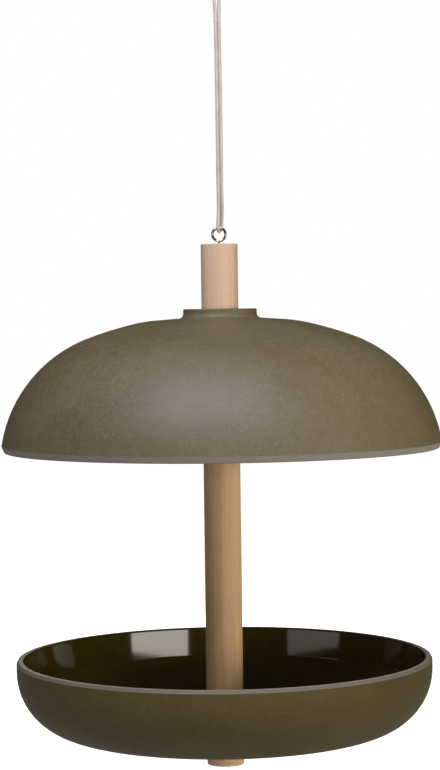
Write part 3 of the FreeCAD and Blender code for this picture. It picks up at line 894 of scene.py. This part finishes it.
class FEEDER_OT_cord(bpy.types.Operator):
    """Braids the doubled cord through the screw eye, and ties its ends in a knot with two tails"""

    bl_idname = "feeder.cord"
    bl_label = "Make Cord and Knot"

    def execute(self, context):
        """Makes the cord along its route, and the knot's wraps and tails."""
        settings = context.scene.seed_feeder.cord
        step = settings.pick / RINGS_PER_PICK
        line = spline_points(CORD_ROUTE)
        cord = braided_tube("braided_cord", [even_points(line, step)], settings)
        routes = [*TAIL_ROUTES, knot_wraps(settings)]
        strands = [even_points(spline_points(route), step) for route in routes]
        knot = braided_tube("overhand_knot", strands, settings)
        material = cord_material(tuple(settings.colour))
        for piece, node in ((cord, "hanging_cord"), (knot, "cord_knot")):
            dress(piece, material)
            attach(piece, "cord")
            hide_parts(node)
        return {"FINISHED"}


class FEEDER_OT_dowel_screws(bpy.types.Operator):
    """Cuts threads on the two dowel screws that hold the posts, roof, dish and foot together"""

    bl_idname = "feeder.dowel_screws"
    bl_label = "Make Dowel Screws"

    def execute(self, context):
        """Makes each screw where its plain one is."""
        settings = context.scene.seed_feeder.screw
        steel = metal_material(
            "zinc_steel", clean=(0.58, 0.57, 0.54), dull=(0.4, 0.39, 0.36), low=0.28, high=0.45
        )
        for node, body in (("roof_dowel_screw", "hanger"), ("dish_dowel_screw", "post")):
            low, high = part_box(node)
            screw = threaded_rod(node + "_threaded", low[2], high[2], high[0], settings)
            dress(screw, steel)
            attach(screw, body)
            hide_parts(node)
        return {"FINISHED"}


class FEEDER_OT_shells(bpy.types.Operator):
    """Finishes the moulded roof and dish"""

    bl_idname = "feeder.shells"
    bl_label = "Finish Shells"

    def execute(self, context):
        """Matt composite outside, a band of painted light at the rim and a polish inside."""
        finish = context.scene.seed_feeder.finish
        roof = shell_material(
            "moulded_roof", finish, painted_shading=(1, 1, 1), sheen=0.6, tint=(0.92, 0.98, 1.17), flecks=0.3,
            middle=ROOF_RIM + ROOF_MIDDLE, band=[ROOF_RIM + height for height in ROOF_BAND],
            hub=(HUB_RADIUS, ROOF_RIM + HUB_TOP),
        )
        dish = shell_material(
            "moulded_dish", finish, painted_shading=finish.dish_painted_shade, sheen=0.3, tint=(1, 1, 1), flecks=0.12,
            middle=DISH_RIM + DISH_MIDDLE, band=[DISH_RIM + height for height in DISH_BAND],
            highlight_lip=LIP_RADIUS,
        )
        dress_node("roof_dome", roof)
        dress_node("seed_dish", dish)
        return {"FINISHED"}


class FEEDER_OT_posts(bpy.types.Operator):
    """Finishes the two beech posts and the foot"""

    bl_idname = "feeder.posts"
    bl_label = "Finish Posts"

    def execute(self, context):
        """Sanded beech, each length with its own painted light."""
        finish = context.scene.seed_feeder.finish
        for node, painted_shading in POST_PAINTED_LIGHT.items():
            early, late = with_painted_shading(finish.beech, painted_shading), with_painted_shading(finish.beech_dark, painted_shading)
            dress_node(node, beech_material("beech_" + node, early, late))
        return {"FINISHED"}


class FEEDER_OT_fittings(bpy.types.Operator):
    """Finishes the screw eye and the rubber washers"""

    bl_idname = "feeder.fittings"
    bl_label = "Finish Fittings"

    def execute(self, context):
        """Bright nickel on the eye and black rubber on the washers."""
        nickel = metal_material(
            "nickel_plate", clean=(0.5, 0.49, 0.47), dull=(0.28, 0.27, 0.26), low=0.08, high=0.2
        )
        dress_node("screw_eye", nickel)
        rubber = rubber_material()
        for node in ("roof_seal", "dish_seal"):
            dress_node(node, rubber)
        return {"FINISHED"}


class FEEDER_PT_panel(bpy.types.Panel):
    """Lists the steps and settings of the seed feeder"""

    bl_idname = "FEEDER_PT_panel"
    bl_label = "Seed Feeder"
    bl_space_type = "VIEW_3D"
    bl_region_type = "UI"
    bl_category = "Seed Feeder"

    def draw(self, context):
        """Draws a button for each step, and the settings under it."""
        settings = context.scene.seed_feeder
        rows = [
            (FEEDER_OT_stage, settings.stage),
            (FEEDER_OT_cord, settings.cord),
            (FEEDER_OT_dowel_screws, settings.screw),
            (FEEDER_OT_shells, settings.finish),
            (FEEDER_OT_posts, None),
            (FEEDER_OT_fittings, None),
        ]
        for step, group in rows:
            box = self.layout.box()
            box.operator(step.bl_idname)
            for key in group.__annotations__ if group else ():
                box.prop(group, key)


CLASSES = (
    CordSettings,
    ScrewSettings,
    FinishSettings,
    StageSettings,
    FeederSettings,
    FEEDER_OT_stage,
    FEEDER_OT_cord,
    FEEDER_OT_dowel_screws,
    FEEDER_OT_shells,
    FEEDER_OT_posts,
    FEEDER_OT_fittings,
    FEEDER_PT_panel,
)


def register():
    """Adds the classes and the scene's settings."""
    for item in CLASSES:
        bpy.utils.register_class(item)
    bpy.types.Scene.seed_feeder = PointerProperty(type=FeederSettings)


def unregister():
    """Takes the settings and the classes away again."""
    del bpy.types.Scene.seed_feeder
    for item in reversed(CLASSES):
        bpy.utils.unregister_class(item)


def main():
    """Makes the whole feeder."""
    register()
    bpy.ops.feeder.stage()
    bpy.ops.feeder.cord()
    bpy.ops.feeder.dowel_screws()
    bpy.ops.feeder.shells()
    bpy.ops.feeder.posts()
    bpy.ops.feeder.fittings()


if __name__ == "__main__":
    main()
